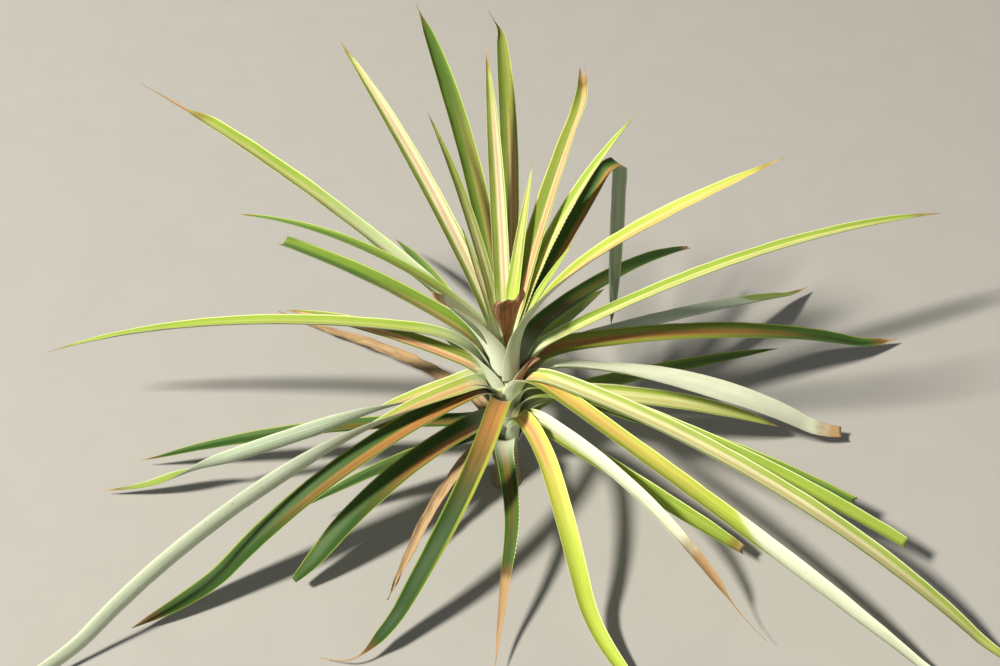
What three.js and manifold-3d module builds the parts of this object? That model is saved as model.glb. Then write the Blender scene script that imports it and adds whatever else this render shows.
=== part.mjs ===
// A pineapple plant: a short leaning stem and a rosette of long channelled leaves.
// Lengths are millimetres and angles are degrees. The stem stands on its flat cut at z = 0.
// A turn of 0 points along +X, and a turn of 90 along +Y, the way the stem leans.
import * as THREE from "three";
import { mergeVertices } from "three/addons/utils/BufferGeometryUtils.js";
import Module from "manifold-3d";

const manifold = await Module();
manifold.setup();

// The stem
const stem = {
  leanX: -0.02,
  leanY: 0.25,
  sides: 18,
  tipHeight: 268,
  // Height and radius from the root flare up to the rounded growing tip.
  outline: [
    [0, 27], [8, 23.5], [22, 21], [60, 19.5], [110, 20], [150, 22.5],
    [185, 25], [212, 22], [232, 17], [248, 11], [258, 7], [265, 3.5],
  ],
};

// What all leaves share
const stations = 14;
const stepsPerStation = 4;
const stationSpread = 1.25;
const seatGap = 0.3;
// Widens the stem's facets to a full circle, so that no leaf's foot starts inside them.
const facetAllowance = 1.04;
// How far a leaf grows as a cutter, and how much more its margins grow, along their slant.
const leafClearance = 0.9;
const marginGrowth = 4;
const chordShare = 0.75;
const smallestFacet = 0.05;
const mergeDistance = 0.0001;
const sheathAngle = 82;
const stemLeanAngle = 14;
const sheathThickness = 3;
// A leaf's thickness falls from a hundredth of its length to the tip's, over its last part.
const lengthPerThickness = 100;
const thinFrom = 0.7;
const tipThickness = 1.6;
const tipWidth = 1.6;
const thickestForWidth = 0.8;
// A leaf with a dry wisp narrows to this share of its width, over this share of its length.
const wispWidth = 0.22;
const wispRun = 0.08;
const groundEase = 60;
const leafDefaults = {
  wrap: 56,
  sheath: 90,
  cup: 40,
  crook: 120,
  sweep: 0,
  roll: 0,
  taper: 4.5,
  blunt: 0,
  rest: 12,
  tint: "green",
  bends: [],
  twists: [],
  swerves: [],
};

// Round a leaf's section: place across it from -1 to 1, and side, 1 above, -1 below, 0 on the margin.
const sectionRing = [
  [-0.4, 1], [0.4, 1], [1, 0], [0.5, -1], [-0.5, -1], [-1, 0],
];

const tints = {
  stem: { color: 0xb9b48a, roughness: 0.8 },
  pale: { color: 0xb9c98a, roughness: 0.5 },
  lime: { color: 0x9dba46, roughness: 0.5 },
  green: { color: 0x6f8f3c, roughness: 0.5 },
  dark: { color: 0x3c5a2c, roughness: 0.5 },
  bronze: { color: 0xb07b42, roughness: 0.5 },
  gold: { color: 0xd0a94c, roughness: 0.5 },
  silver: { color: 0x93a896, roughness: 0.6 },
  straw: { color: 0xa98352, roughness: 0.9 },
  brown: { color: 0x7a4f33, roughness: 0.9 },
};

// Leaves of the heart and of the back, which stand up
const uprightLeaves = [
  {
    name: "heart_leaf_1", turn: 66, foot: 262, length: 300, width: 27, lead: 76,
    fall: 8, tint: "lime", taper: 2,
  },
  {
    name: "heart_leaf_2", turn: 94.5, sweep: 8, foot: 260, length: 460, width: 29,
    lead: 69, fall: 4, tint: "pale",
  },
  {
    name: "heart_leaf_3", turn: 80.5, sweep: 24, foot: 253, length: 526, width: 31,
    lead: 62, fall: 2, tint: "bronze", taper: 8, wisp: 0.94,
    swerves: [{ at: 470, over: 40, by: 60 }],
  },
  {
    name: "heart_leaf_4", turn: 104, sweep: 24, foot: 256, length: 548, width: 36,
    lead: 60, fall: 8, tint: "green", taper: 8, wisp: 0.95,
  },
  {
    name: "heart_leaf_5", turn: 122, sweep: 16, foot: 258, length: 388, width: 22,
    lead: 71, fall: 14, tint: "pale",
  },
  {
    name: "heart_leaf_6", turn: 56, sweep: -24, foot: 252, length: 470, width: 37,
    lead: 68, fall: 0, tint: "bronze", blunt: 0.25,
    swerves: [{ at: 380, over: 70, by: 60 }],
  },
  {
    name: "heart_leaf_7", turn: 128, foot: 247, length: 208, width: 16, lead: 66,
    fall: 10, tint: "pale",
  },
  {
    name: "heart_leaf_8", turn: 22, foot: 240, length: 222, width: 17, lead: 64,
    fall: 8, tint: "lime",
  },
  {
    name: "back_leaf_1", turn: 129, foot: 243, length: 565, width: 34, lead: 52,
    fall: 22, tint: "pale",
  },
  {
    name: "back_leaf_2", turn: 48, sweep: -46, foot: 245, length: 446, width: 31,
    lead: 68, fall: 12, tint: "lime",
  },
];

// Leaves that arch out to the left
const leftLeaves = [
  {
    name: "left_leaf_1", turn: 150, foot: 210, length: 780, width: 50, lead: 33,
    fall: 21, tint: "lime", taper: 10, wisp: 0.84, roll: 22, wrap: 96,
  },
  {
    name: "left_leaf_2", turn: 160, foot: 236, length: 515, width: 26, lead: 44,
    fall: 54, tint: "green", roll: 10, wrap: 72,
  },
  {
    name: "left_leaf_3", turn: 155, foot: 198, length: 435, width: 50, lead: 25,
    fall: 23, tint: "green", blunt: 0.8, roll: 18,
  },
  {
    name: "left_leaf_4", turn: 172, foot: 176, length: 850, width: 41, lead: 9,
    fall: 34, tint: "lime", crook: 190, roll: 18, wrap: 92,
  },
  {
    name: "left_leaf_5", turn: 167, foot: 166, length: 385, width: 36, lead: 24,
    fall: 24, tint: "bronze", crook: 90,
  },
  {
    name: "left_leaf_6", turn: 194, sweep: -14, foot: 172, length: 715, width: 38,
    lead: -12, fall: 13, tint: "silver", crook: 70,
    twists: [{ at: 80, over: 260, by: 95 }, { at: 470, over: 150, by: -95 }],
  },
  {
    name: "left_leaf_7", turn: 208.5, sweep: 9, foot: 166, length: 980, width: 38,
    lead: 7, fall: 50, tint: "silver", crook: 80, taper: 10,
    twists: [{ at: 60, over: 360, by: 95 }],
  },
  {
    name: "left_leaf_8", turn: 213.5, sweep: -4, foot: 158, length: 715, width: 45,
    lead: 5, fall: 56, tint: "dark", crook: 80, taper: 9,
  },
  {
    name: "left_leaf_9", turn: 214, sweep: 8, foot: 106, length: 445, width: 45,
    lead: 6, fall: 46, tint: "dark", crook: 60, taper: 9, blunt: 0.3,
  },
  {
    name: "left_leaf_10", turn: 200, foot: 74, length: 360, width: 30, lead: 2,
    fall: 24, tint: "dark", crook: 60,
  },
  {
    name: "left_leaf_11", turn: 180, foot: 84, length: 640, width: 34, lead: 2,
    fall: 22, tint: "dark", crook: 60,
  },
  {
    name: "broken_leaf", turn: 218, sweep: -12, foot: 216, length: 240, width: 48,
    lead: 76, fall: 34, tint: "silver", crook: 150, blunt: 0.5, wrap: 88, sheath: 130,
  },
];

// Leaves that arch out towards the viewer's side
const frontLeaves = [
  {
    name: "front_leaf_1", turn: 263, sweep: -48, foot: 138, length: 600, width: 38,
    lead: 2, fall: 62, tint: "dark", wisp: 0.86,
    swerves: [{ at: 520, over: 60, by: -50 }],
  },
  {
    name: "front_leaf_2", turn: 264, sweep: 4, foot: 78, length: 425, width: 32,
    lead: 10, fall: 50, tint: "dark", crook: 50, taper: 2,
    swerves: [{ at: 20, over: 60, by: 12 }, { at: 120, over: 140, by: -17 }],
  },
  {
    name: "front_leaf_3", turn: 300, sweep: 0, foot: 105, length: 640, width: 34,
    lead: 0, fall: 66, tint: "gold",
    swerves: [{ at: 60, over: 160, by: -14 }, { at: 340, over: 160, by: 16 }],
  },
];

// Leaves that arch out to the right
const rightLeaves = [
  {
    name: "right_leaf_1", turn: -30, sweep: 2, foot: 164, length: 960, width: 44,
    lead: 8, fall: 46, tint: "pale", taper: 9, roll: -10, wrap: 74,
  },
  {
    name: "right_leaf_2", turn: -21, foot: 150, length: 706, width: 40, lead: -1,
    fall: 22, tint: "lime", blunt: 0.6,
  },
  {
    name: "right_leaf_3", turn: -41.5, sweep: 14, foot: 168, length: 900, width: 44,
    lead: -5, fall: 24, tint: "gold", taper: 7, roll: -14,
  },
  {
    name: "right_leaf_4", turn: -40.5, sweep: -5, foot: 100, length: 590, width: 27,
    lead: 10, fall: 52, tint: "pale", wisp: 0.84,
  },
  {
    name: "right_leaf_5", turn: -40.5, sweep: 23, foot: 90, length: 476, width: 38,
    lead: -4, fall: 24, tint: "lime", taper: 7, blunt: 0.5,
  },
  {
    name: "right_leaf_6", turn: 4, foot: 168, length: 640, width: 42, lead: -1,
    fall: 40, tint: "silver", crook: 100, taper: 8, blunt: 0.5,
    twists: [{ at: 30, over: 70, by: -28 }, { at: 120, over: 260, by: 50 }],
  },
  {
    name: "right_leaf_7", turn: 6, foot: 106, length: 515, width: 46, lead: -2,
    fall: 26, tint: "pale", taper: 6,
  },
  {
    name: "right_leaf_8", turn: 21, foot: 170, length: 850, width: 46, lead: -5,
    fall: 26, tint: "dark", crook: 130, taper: 10,
  },
  {
    name: "right_leaf_9", turn: 31, sweep: 10, foot: 160, length: 785, width: 44,
    lead: -8, fall: 18, tint: "silver", taper: 8, roll: -14,
  },
  {
    name: "right_leaf_10", turn: 26, foot: 80, length: 580, width: 36, lead: -7,
    fall: 6, tint: "green",
  },
  {
    name: "right_leaf_11", turn: 22, foot: 184, length: 850, width: 34, lead: 20,
    fall: 30, tint: "lime", crook: 110, taper: 8, roll: -14, wrap: 84,
  },
  {
    name: "right_leaf_12", turn: -50, sweep: 68, foot: 208, length: 634, width: 40,
    lead: 82, fall: 64, tint: "gold", crook: 152, wrap: 50, sheath: 100,
  },
  {
    name: "right_leaf_13", turn: -15, foot: 130, length: 616, width: 36, lead: -4,
    fall: 16, tint: "green", blunt: 0.5,
  },
];

// The leaf that stands up at the back and is folded over, in two pieces that meet at the fold
const foldedLeaves = [
  {
    name: "folded_leaf", turn: 37, foot: 238, length: 352, width: 36, lead: 57,
    fall: 4, tint: "dark", crook: 110, blunt: 0.8,
    bends: [{ at: 326, over: 26, by: 60 }],
  },
  {
    name: "folded_leaf_tip", after: "folded_leaf", startSlope: 2, turn: 37,
    length: 355, width: 34, lead: -88, fall: 0, tint: "silver", crook: 16, cup: 14,
  },
];

// Low leaves at the back
const lowLeaves = [
  {
    name: "back_leaf_3", turn: 46, foot: 196, length: 512, width: 36, lead: 9,
    fall: 34, tint: "dark", blunt: 0.3,
  },
  {
    name: "back_leaf_4", turn: 52, foot: 156, length: 290, width: 34, lead: 2,
    fall: 10, tint: "silver",
  },
  {
    name: "shaded_leaf_1", turn: 82, foot: 100, length: 290, width: 30, lead: 0,
    fall: 30, tint: "dark",
  },
  {
    name: "shaded_leaf_2", turn: 100, foot: 78, length: 240, width: 28, lead: 4,
    fall: 30, tint: "dark",
  },
  {
    name: "shaded_leaf_3", turn: 120, foot: 110, length: 230, width: 30, lead: 0,
    fall: 24, tint: "dark",
  },
  {
    name: "back_leaf_5", turn: 112, foot: 130, length: 620, width: 30, lead: -3,
    fall: 20, tint: "green",
  },
];

// Dead leaves at the foot and dry scraps among the leaf bases
const deadLeaves = [
  {
    name: "dead_leaf_1", turn: 217, sweep: 36, foot: 46, length: 370, width: 22,
    lead: -20, fall: 10, tint: "straw",
  },
  {
    name: "dead_leaf_2", turn: 125, sweep: 26, foot: 52, length: 620, width: 28,
    lead: -10, fall: 6, tint: "straw",
  },
  {
    name: "withered_leaf_1", turn: -60, foot: 258, length: 122, width: 66, lead: 84,
    fall: 6, tint: "brown", crook: 40, taper: 9, blunt: 0.7, roll: 0, wrap: 20,
    sheath: 116, cup: 34,
  },
  {
    name: "withered_leaf_2", turn: -14, foot: 187, length: 74, width: 16, lead: 50,
    fall: 20, tint: "brown",
  },
];

const leaves = [
  ...uprightLeaves, ...leftLeaves, ...frontLeaves, ...rightLeaves,
  ...foldedLeaves, ...lowLeaves, ...deadLeaves,
].map((leaf) => ({ ...leafDefaults, ...leaf }));

function radians(degrees) {
  return (degrees * Math.PI) / 180;
}

function smooth(share) {
  const held = Math.min(Math.max(share, 0), 1);
  return held * held * (3 - 2 * held);
}

function mix(from, to, share) {
  return from + (to - from) * share;
}

function stemRadius(height) {
  const { outline } = stem;
  const next = outline.findIndex(([z]) => z > height);
  if (next < 0) return outline.at(-1)[1];
  const [lowZ, lowRadius] = outline[next - 1];
  const [highZ, highRadius] = outline[next];
  return mix(lowRadius, highRadius, (height - lowZ) / (highZ - lowZ));
}

function leanPoint(x, y, z) {
  return new THREE.Vector3(x + stem.leanX * z, y + stem.leanY * z, z);
}

function bareGeometry(geometry) {
  geometry.deleteAttribute("normal");
  geometry.deleteAttribute("uv");
  return mergeVertices(geometry, mergeDistance);
}

function stemGeometry(grow = 0) {
  const profile = [new THREE.Vector2(0, 0)];
  for (const [height, radius] of stem.outline) profile.push(new THREE.Vector2(radius + grow, height));
  profile.push(new THREE.Vector2(0, stem.tipHeight + grow));
  const geometry = bareGeometry(new THREE.LatheGeometry(profile, stem.sides));
  geometry.rotateX(Math.PI / 2);
  const position = geometry.attributes.position;
  for (let i = 0; i < position.count; i += 1) {
    const point = leanPoint(position.getX(i), position.getY(i), position.getZ(i));
    position.setXYZ(i, point.x, point.y, point.z);
  }
  return geometry;
}

// Degrees that a list of bends has turned a leaf by, at a distance along it
function bentBy(list, along) {
  return list.reduce((total, { at, over, by }) => total + by * smooth((along - at) / over), 0);
}

// The slope of a leaf at a distance along it: steep in the sheath, then out at its lead, then falling.
function leafSlope(leaf, along, height) {
  const sheath = leaf.startSlope ?? sheathAngle - stemLeanAngle * Math.sin(radians(leaf.turn));
  const out = smooth(along / leaf.crook);
  let slope = mix(sheath, leaf.lead, out) - leaf.fall * (along / leaf.length);
  slope -= bentBy(leaf.bends, along);
  if (leaf.after) return slope;
  const lowest = (-Math.atan2(height - leaf.rest, groundEase) * 180) / Math.PI;
  return Math.max(slope, Math.min(lowest, 0));
}

// A leaf starts on the stem, or where the piece before it ends.
function leafStart(leaf) {
  if (leaf.after) {
    const last = walkLeaf(leaves.find(({ name }) => name === leaf.after)).at(-1);
    return { point: last.point.addScaledVector(last.ahead, seatGap), footRadius: 0 };
  }
  const footRadius = stemRadius(leaf.foot) * facetAllowance + seatGap + sheathThickness / 2;
  const out = new THREE.Vector3(Math.cos(radians(leaf.turn)), Math.sin(radians(leaf.turn)), 0);
  return { point: leanPoint(0, 0, leaf.foot).addScaledVector(out, footRadius), footRadius };
}

// Walks a leaf from its foot and keeps a frame at each station.
function walkLeaf(leaf) {
  const { point, footRadius } = leafStart(leaf);
  const frames = [];
  let along = 0;
  for (let station = 0; station <= stations; station += 1) {
    const target = leaf.length * (station / stations) ** stationSpread;
    const step = (target - along) / stepsPerStation;
    for (let i = 0; i < stepsPerStation && step > 0; i += 1) {
      const middle = along + step / 2;
      point.addScaledVector(leafFrame(leaf, middle, point.z).ahead, step);
      along += step;
    }
    frames.push({ ...leafFrame(leaf, along, point.z), point: point.clone(), along, footRadius });
  }
  return frames;
}

function leafFrame(leaf, along, height) {
  const turn = radians(leaf.turn + leaf.sweep * (along / leaf.length) + bentBy(leaf.swerves, along));
  const slope = radians(leafSlope(leaf, along, height));
  const ahead = new THREE.Vector3(
    Math.cos(slope) * Math.cos(turn), Math.cos(slope) * Math.sin(turn), Math.sin(slope),
  );
  const across = new THREE.Vector3(-Math.sin(turn), Math.cos(turn), 0);
  const above = new THREE.Vector3().crossVectors(ahead, across);
  const roll = radians(leaf.roll + bentBy(leaf.twists, along));
  across.applyAxisAngle(ahead, roll);
  above.applyAxisAngle(ahead, roll);
  return { ahead, across, above };
}

function halfWidth(leaf, share) {
  const full = leaf.width / 2;
  const narrowed = (1 - share ** leaf.taper) * (1 - leaf.blunt) + leaf.blunt;
  let half = full * narrowed;
  if (leaf.wisp) half *= mix(1, wispWidth, smooth((share - leaf.wisp) / wispRun + 0.5));
  return Math.max(half, tipWidth / 2);
}

// The section at a station: half width, half angle of the channel and thickness.
function sectionSize(leaf, frame) {
  const share = frame.along / leaf.length;
  const free = leaf.after ? 1 : smooth(frame.along / leaf.sheath);
  const wrap = radians(leaf.wrap);
  const half = mix(wrap * frame.footRadius, halfWidth(leaf, share), free);
  const cup = mix(wrap, radians(leaf.cup), free);
  const fullThickness = mix(sheathThickness, leaf.length / lengthPerThickness, free);
  const thinned = mix(fullThickness, tipThickness, smooth((share - thinFrom) / (1 - thinFrom)));
  const thickness = Math.min(thinned, half * thickestForWidth);
  return { half, cup, thickness };
}

function leafVertex(leaf, frame, [place, side], grow) {
  const { half, cup, thickness } = sectionSize(leaf, frame);
  const bendRadius = half / cup;
  const angle = place * cup;
  const lift = side * (thickness / 2 + grow);
  const reach = side === 0 ? grow * marginGrowth : 0;
  const chord = cup * chordShare;
  const acrossBy = (bendRadius - lift) * Math.sin(angle) + place * reach * Math.cos(chord);
  const aboveBy = bendRadius * (1 - Math.cos(angle)) + lift * Math.cos(angle) + reach * Math.sin(chord);
  return frame.point.clone().addScaledVector(frame.across, acrossBy).addScaledVector(frame.above, aboveBy);
}

function leafGeometry(leaf, grow = 0) {
  const frames = walkLeaf(leaf);
  frames[0].point.addScaledVector(frames[0].ahead, -grow);
  frames[stations].point.addScaledVector(frames[stations].ahead, grow);
  const ring = sectionRing.length;
  const geometry = bareGeometry(new THREE.CylinderGeometry(1, 1, 1, ring, stations));
  const position = geometry.attributes.position;
  for (let i = 0; i < position.count; i += 1) {
    const [x, y, z] = [position.getX(i), position.getY(i), position.getZ(i)];
    const frame = frames[Math.round((0.5 - y) * stations)];
    const onRing = Math.hypot(x, z) > 0.5;
    const turnShare = (Math.atan2(x, z) / (2 * Math.PI) + 1) % 1;
    const corner = sectionRing[Math.round(turnShare * ring) % ring];
    const vertex = onRing ? leafVertex(leaf, frame, corner, grow) : frame.point;
    position.setXYZ(i, vertex.x, vertex.y, vertex.z);
  }
  return geometry;
}

function toManifold(geometry) {
  return new manifold.Manifold(new manifold.Mesh({
    numProp: 3,
    vertProperties: new Float32Array(geometry.attributes.position.array),
    triVerts: new Uint32Array(geometry.index.array),
  }));
}

function fromManifold(solid) {
  const mesh = solid.getMesh();
  const geometry = new THREE.BufferGeometry();
  geometry.setAttribute("position", new THREE.BufferAttribute(mesh.vertProperties, 3));
  geometry.setIndex(new THREE.BufferAttribute(mesh.triVerts, 1));
  return geometry;
}

function boxesMeet(one, other) {
  return [0, 1, 2].every((k) => one.min[k] < other.max[k] && other.min[k] < one.max[k]);
}

function largestPiece(solid) {
  const pieces = solid.decompose().sort((one, other) => other.volume() - one.volume());
  return pieces[0];
}

// Leaves are seated from the heart outwards: each is cut clear of the stem and of those inside it.
function seatLeaves() {
  const stemSolid = toManifold(stemGeometry(seatGap));
  const inside = [{ solid: stemSolid, box: stemSolid.boundingBox() }];
  const seated = new Map();
  for (const leaf of [...leaves].sort((one, other) => (other.foot ?? 0) - (one.foot ?? 0))) {
    const whole = toManifold(leafGeometry(leaf));
    const box = whole.boundingBox();
    let solid = whole;
    for (const inner of inside) {
      if (boxesMeet(box, inner.box)) solid = solid.subtract(inner.solid);
    }
    seated.set(leaf.name, fromManifold(largestPiece(solid.simplify(smallestFacet))));
    const grown = toManifold(leafGeometry(leaf, leafClearance)).add(whole);
    inside.push({ solid: grown, box: grown.boundingBox() });
  }
  return seated;
}

function makeMaterial(tint) {
  return new THREE.MeshStandardMaterial({ ...tints[tint], metalness: 0, side: THREE.FrontSide });
}

function addMesh(group, name, geometry, tint) {
  const mesh = new THREE.Mesh(geometry, makeMaterial(tint));
  mesh.name = name;
  group.add(mesh);
}

const plant = new THREE.Group();
plant.name = "pineapple_plant";
addMesh(plant, "stem", stemGeometry(), "stem");
const seated = seatLeaves();
for (const leaf of leaves) addMesh(plant, leaf.name, seated.get(leaf.name), leaf.tint);

export default plant;
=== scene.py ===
import math
import random
from types import SimpleNamespace
import bmesh
import bpy
from mathutils import Matrix, Vector, noise


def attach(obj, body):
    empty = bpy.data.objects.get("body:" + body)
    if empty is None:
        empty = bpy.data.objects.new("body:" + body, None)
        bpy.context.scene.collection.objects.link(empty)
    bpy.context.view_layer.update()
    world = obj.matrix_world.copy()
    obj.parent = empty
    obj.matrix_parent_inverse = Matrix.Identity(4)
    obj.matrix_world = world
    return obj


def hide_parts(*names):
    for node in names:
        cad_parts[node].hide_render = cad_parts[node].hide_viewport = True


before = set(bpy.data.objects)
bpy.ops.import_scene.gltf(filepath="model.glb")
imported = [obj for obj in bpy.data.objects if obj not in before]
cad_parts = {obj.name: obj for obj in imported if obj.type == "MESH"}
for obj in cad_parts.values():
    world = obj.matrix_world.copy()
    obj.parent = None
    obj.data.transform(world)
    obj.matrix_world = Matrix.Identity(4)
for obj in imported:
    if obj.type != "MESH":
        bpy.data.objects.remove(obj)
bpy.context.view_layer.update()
print("frame loaded:", len(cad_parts), "solids")

# The camera: at eye height, in metres, looking down across the rosette
view = {"place": (-0.012, -1.35, 1.6), "pitchDown": 43.0, "lens": 43.45, "sensor": 36.0, "nearest": 0.01}


def makeCamera():
    data = bpy.data.cameras.new("camera")
    data.sensor_width = view["sensor"]
    data.lens = view["lens"]
    data.clip_start = view["nearest"]
    camera = bpy.data.objects.new("camera", data)
    camera.location = view["place"]
    camera.rotation_euler = (math.radians(90 - view["pitchDown"]), 0, 0)
    bpy.context.scene.collection.objects.link(camera)
    bpy.context.scene.camera = camera
    print("camera made")


# Studio light: a bright panel high on the left, a weak one on the right and one behind
studio = {
    "key": {"place": (-8.4, -4.2, 10.5), "size": 1.7, "power": 3700, "tint": (1.0, 0.965, 0.89)},
    "fill": {"place": (7.0, -4.0, 5.0), "size": 6.0, "power": 55, "tint": (0.90, 0.95, 1.0)},
    "rim": {"place": (-2.0, 8.0, 3.5), "size": 4.0, "power": 60, "tint": (1.0, 0.98, 0.94)},
    "aim": (0, 0, 0.2), "sky": (0.90, 0.95, 1.0), "skyStrength": 0.17,
}


def makeLight(name, place, size, power, tint):
    data = bpy.data.lights.new(name, "AREA")
    data.shape = "DISK"
    data.size = size
    data.energy = power
    data.color = tint
    lamp = bpy.data.objects.new(name, data)
    lamp.location = place
    toPlant = Vector(studio["aim"]) - Vector(place)
    lamp.rotation_euler = toPlant.to_track_quat("-Z", "Y").to_euler()
    bpy.context.scene.collection.objects.link(lamp)


def makeStudio():
    for name in ("key", "fill", "rim"):
        makeLight(name, **studio[name])
    world = bpy.data.worlds.new("studio")
    world.use_nodes = True
    back = world.node_tree.nodes["Background"]
    back.inputs["Color"].default_value = (*studio["sky"], 1)
    back.inputs["Strength"].default_value = studio["skyStrength"]
    bpy.context.scene.world = world
    bpy.context.scene.view_settings.view_transform = "Standard"
    print("studio lit")


# Shader maths: a socket that can be written in a plain expression
class Wire:
    def __init__(self, shader, socket):
        self.shader = shader
        self.socket = socket

    def combine(self, operation, other, flipped=False):
        pair = (other, self) if flipped else (self, other)
        return self.shader.node("ShaderNodeMath", {"operation": operation}, {0: pair[0], 1: pair[1]})

    def __add__(self, other):
        return self.combine("ADD", other)

    def __radd__(self, other):
        return self.combine("ADD", other, True)

    def __sub__(self, other):
        return self.combine("SUBTRACT", other)

    def __rsub__(self, other):
        return self.combine("SUBTRACT", other, True)

    def __mul__(self, other):
        return self.combine("MULTIPLY", other)

    def swing(self, by):
        return (self - 0.5) * by  # noise from 0 to 1 made a shift to both sides


specularLevel = 0.18  # wax, dry leaf and floor all throw back little light


class Shader:
    def __init__(self, name):
        self.material = bpy.data.materials.new(name)
        self.material.use_nodes = True
        self.tree = self.material.node_tree
        self.surface = self.tree.nodes["Principled BSDF"]

    def feed(self, socket, value):
        if isinstance(value, Wire):
            self.tree.links.new(value.socket, socket)
        else:
            socket.default_value = value

    def node(self, kind, settings=None, sockets=None, output=0):
        made = self.tree.nodes.new(kind)
        for key, value in (settings or {}).items():
            setattr(made, key, value)
        for key, value in (sockets or {}).items():
            self.feed(made.inputs[key], value)
        return Wire(self, made.outputs[output])

    def read(self, name):
        return self.node("ShaderNodeAttribute", {"attribute_name": name}, output="Fac")

    def blend(self, share, one, other):
        # Sockets 6 and 7 take the Mix node's two colours, and output 2 gives the mixed one
        settings = {"data_type": "RGBA", "clamp_factor": True}
        return self.node("ShaderNodeMix", settings, {"Factor": share, 6: one, 7: other}, output=2)

    def rise(self, value, low, high):
        sockets = {"Value": value, "From Min": low, "From Max": high}
        return self.node("ShaderNodeMapRange", {"interpolation_type": "SMOOTHSTEP"}, sockets)

    def fall(self, value, low, high):
        return 1.0 - self.rise(value, low, high)

    def size(self, value):
        return self.node("ShaderNodeMath", {"operation": "ABSOLUTE"}, {0: value})

    def vector(self, x, y, z):
        return self.node("ShaderNodeCombineXYZ", None, {0: x, 1: y, 2: z})

    def objectPlace(self):
        return self.node("ShaderNodeTexCoord", output="Object")

    def cloud(self, vector, scale, detail, roughness):
        sockets = {"Vector": vector, "Scale": scale, "Detail": detail, "Roughness": roughness}
        return self.node("ShaderNodeTexNoise", None, sockets)

    def bump(self, height, strength, distance):
        sockets = {"Height": height, "Strength": strength, "Distance": distance}
        return self.node("ShaderNodeBump", None, sockets)

    def finish(self, color, roughness, normal):
        self.feed(self.surface.inputs["Base Color"], color)
        self.feed(self.surface.inputs["Roughness"], roughness)
        self.feed(self.surface.inputs["Normal"], normal)
        self.feed(self.surface.inputs["Specular IOR Level"], specularLevel)
        return self.material


def tint(code):
    # A screen colour, in the linear light that a shader works in
    parts = [int(code[i:i + 2], 16) / 255 for i in (0, 2, 4)]
    return (*[c / 12.92 if c <= 0.04045 else ((c + 0.055) / 1.055) ** 2.4 for c in parts], 1)


# Leaf colours: the warm channel along the middle from base to tip, its lines, the green sides and the
# under face. reach is the share of the length that stays warm, stripe how marked the lines are, and
# sideFrom the share of the half width where the green begins
leafLooks = {
    "pale_leaf": {
        "heart": "e6dda6", "middle": "e9d3a0", "outer": "b4c25e", "margin": "8ea43e", "edge": "efeeb8",
        "line": "fbf4d6", "blush": "cc9870", "under": "c3cda8", "reach": 0.75, "stripe": 0.9,
        "sideFrom": 0.5, "gloss": 0.42,
    },
    "lime_leaf": {
        "heart": "d2d27e", "middle": "cfcd78", "outer": "a8bc4a", "margin": "8faa3c", "edge": "ebedaa",
        "line": "efeec2", "blush": "d6a270", "under": "c0cba4", "reach": 0.5, "stripe": 0.5,
        "sideFrom": 0.42, "gloss": 0.42,
    },
    "green_leaf": {
        "heart": "c4b062", "middle": "a4974a", "outer": "5e7f36", "margin": "83a03a", "edge": "d6dc84",
        "line": "d8d498", "blush": "b07a46", "under": "a3b48e", "reach": 0.5, "stripe": 0.4,
        "sideFrom": 0.4, "gloss": 0.44,
    },
    # The dark look's deep green outer and margin are partly the leaves' own colour and partly painted
    # shade, for leaves that lie in shade
    "dark_leaf": {
        "heart": "c4894a", "middle": "9c7238", "outer": "294a17", "margin": "47672a", "edge": "adb94a",
        "line": "c2955e", "blush": "784a2e", "under": "95a68c", "reach": 0.55, "stripe": 0.3,
        "sideFrom": 0.34, "gloss": 0.52,
    },
    "bronze_leaf": {
        "heart": "ecbf88", "middle": "e9b080", "outer": "929a42", "margin": "7b9036", "edge": "e2e67c",
        "line": "fce0b8", "blush": "bd7653", "under": "b2c0a0", "reach": 0.85, "stripe": 0.65,
        "sideFrom": 0.38, "gloss": 0.42,
    },
    "gold_leaf": {
        "heart": "e6a662", "middle": "dfb764", "outer": "b9c94a", "margin": "a0b342", "edge": "eef09c",
        "line": "f8e4aa", "blush": "cf8a54", "under": "ccd6ac", "reach": 0.62, "stripe": 0.45,
        "sideFrom": 0.42, "gloss": 0.42,
    },
    "silver_leaf": {
        "heart": "c9a268", "middle": "aba352", "outer": "8fa248", "margin": "8a9f46", "edge": "dcdfae",
        "line": "d7d5a6", "blush": "aa7a54", "under": "a9b99c", "reach": 0.4, "stripe": 0.45,
        "sideFrom": 0.42, "gloss": 0.46,
    },
}
# underShade and underLit are painted shade and painted light for the under face; glow is a yellow that is
# partly the leaf's own colour and partly painted sunlight
sharedTints = {
    "underLine": "d3dcbf", "underShade": "809a76", "underEdge": "e6e8ca", "underLit": "f0f2d2",
    "bloom": "d9e0c6", "vein": "4c6427", "straw": "d6b482", "strawShade": "86603c",
    "rust": "8a4f2c", "speck": "5a3a22", "glow": "cfd04a", "tooth": "f2ecc8", "fresh": "b9d44a",
}

# What each point of a leaf carries for its material: where it is, and its leaf's own looks
placeMarks = ("across", "along", "metres", "under", "seed", "reach")
lookMarks = (
    "tone", "warm", "dry", "bloom", "bright", "turnFrom", "turnTo", "shift", "band", "glow", "fresh",
)

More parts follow.
